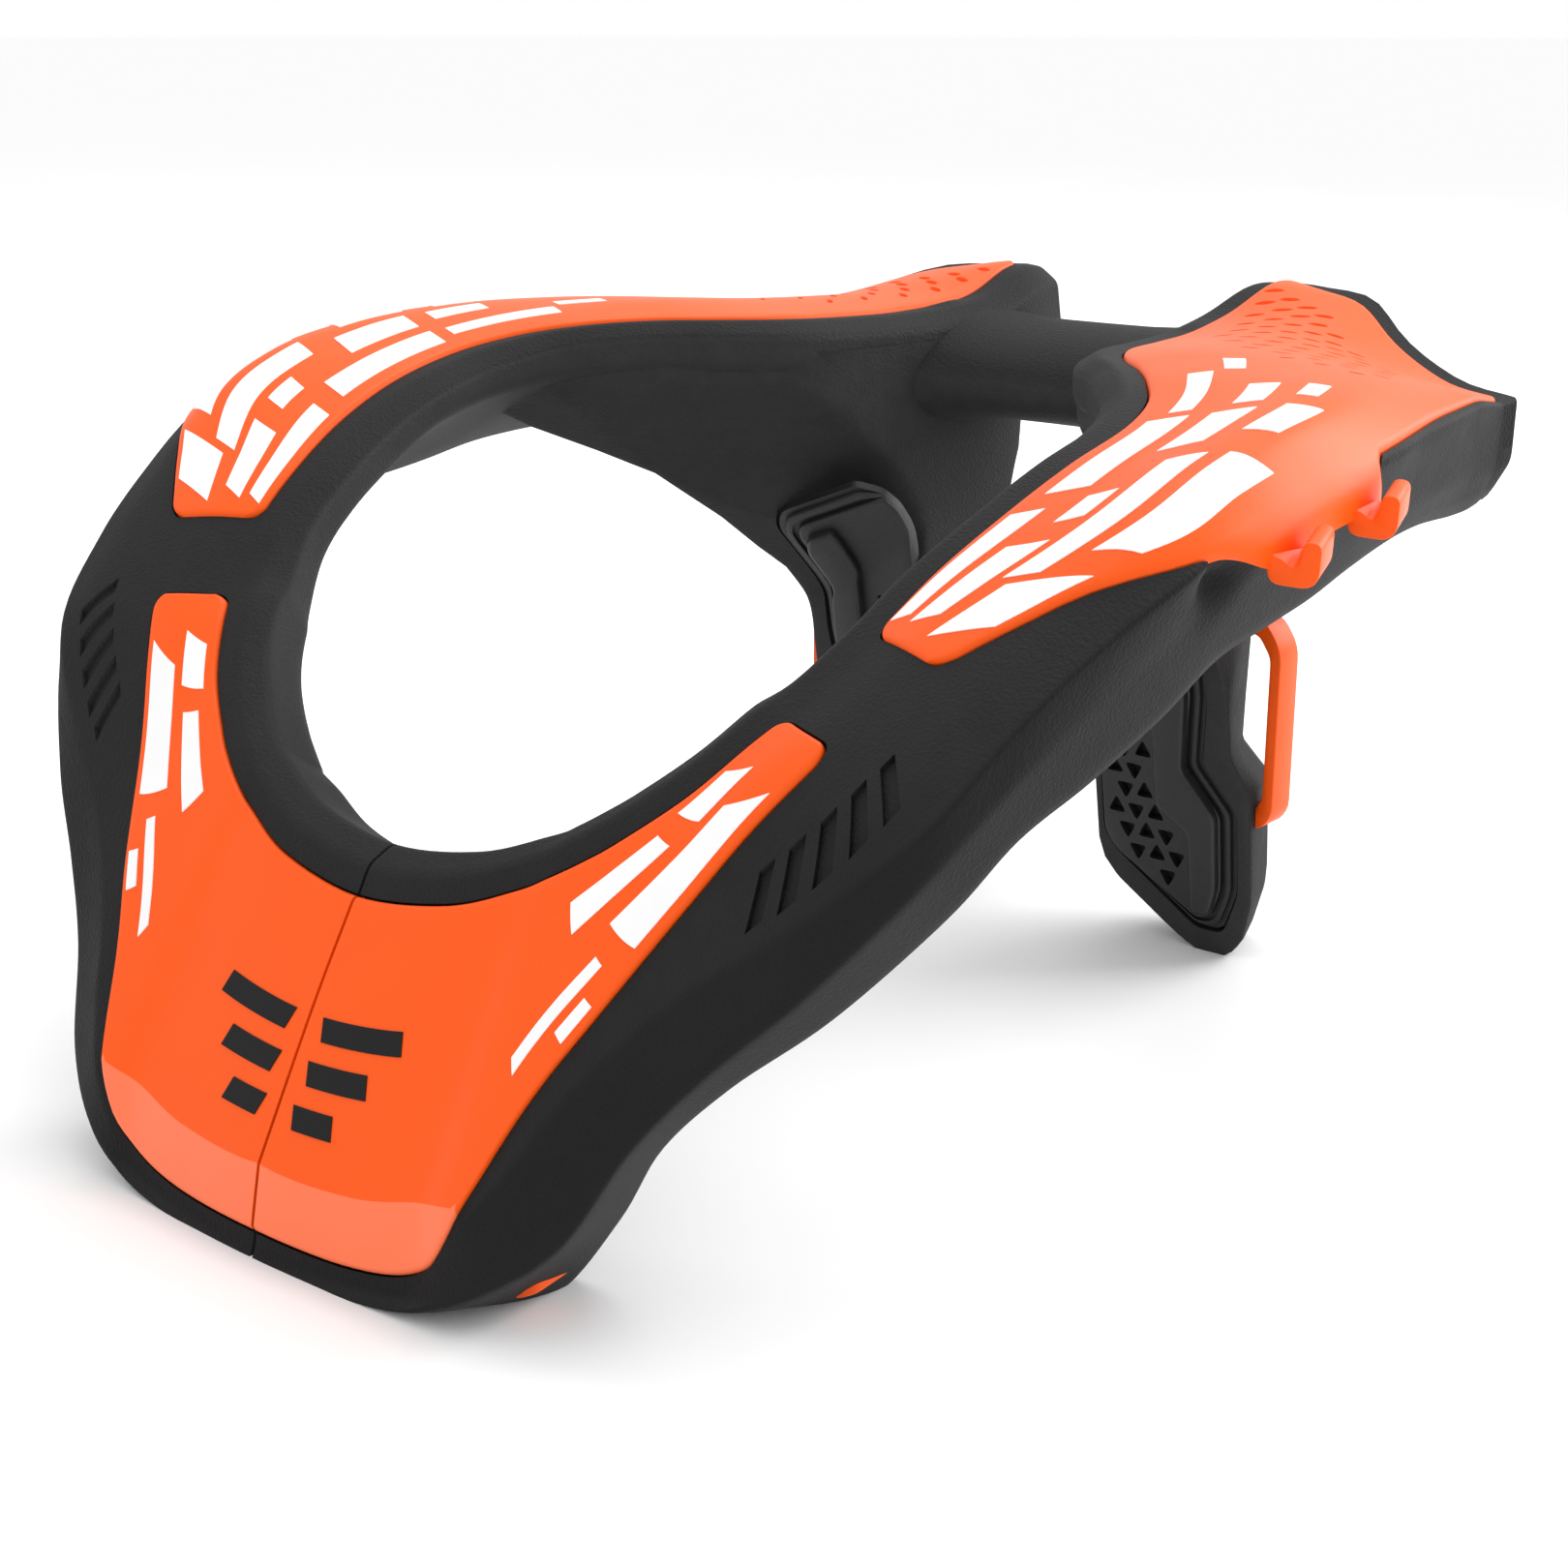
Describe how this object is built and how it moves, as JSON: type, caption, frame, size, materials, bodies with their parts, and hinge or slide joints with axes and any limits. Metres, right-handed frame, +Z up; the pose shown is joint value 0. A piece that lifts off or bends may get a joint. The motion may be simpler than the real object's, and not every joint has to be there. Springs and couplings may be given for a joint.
{
  "type": "neck brace",
  "caption": "Collar-shaped youth neck brace of dark foam with shell plates on its arms, padded back legs, strap hooks and strap loops.",
  "frame": {"origin": "on the floor, below the middle of the brace's width and length", "axes": "+Z up, the front faces -Y, +X towards the wearer's left"},
  "size_m": [0.2342, 0.2494, 0.1245],
  "materials": {
    "foam": "matte moulded foam",
    "shell": "satin orange shell",
    "pad_rubber": "matte rubber"
  },
  "bodies": {
    "root": {"foam_collar": "foam", "front_plate_left": "shell", "front_plate_right": "shell", "rear_plate_left": "shell", "rear_plate_right": "shell", "back_pad_left": "pad_rubber", "back_pad_right": "pad_rubber", "strap_loop_left": "shell", "strap_loop_right": "shell", "chest_tab_left": "shell", "chest_tab_right": "shell"}
  },
  "joints": []
}
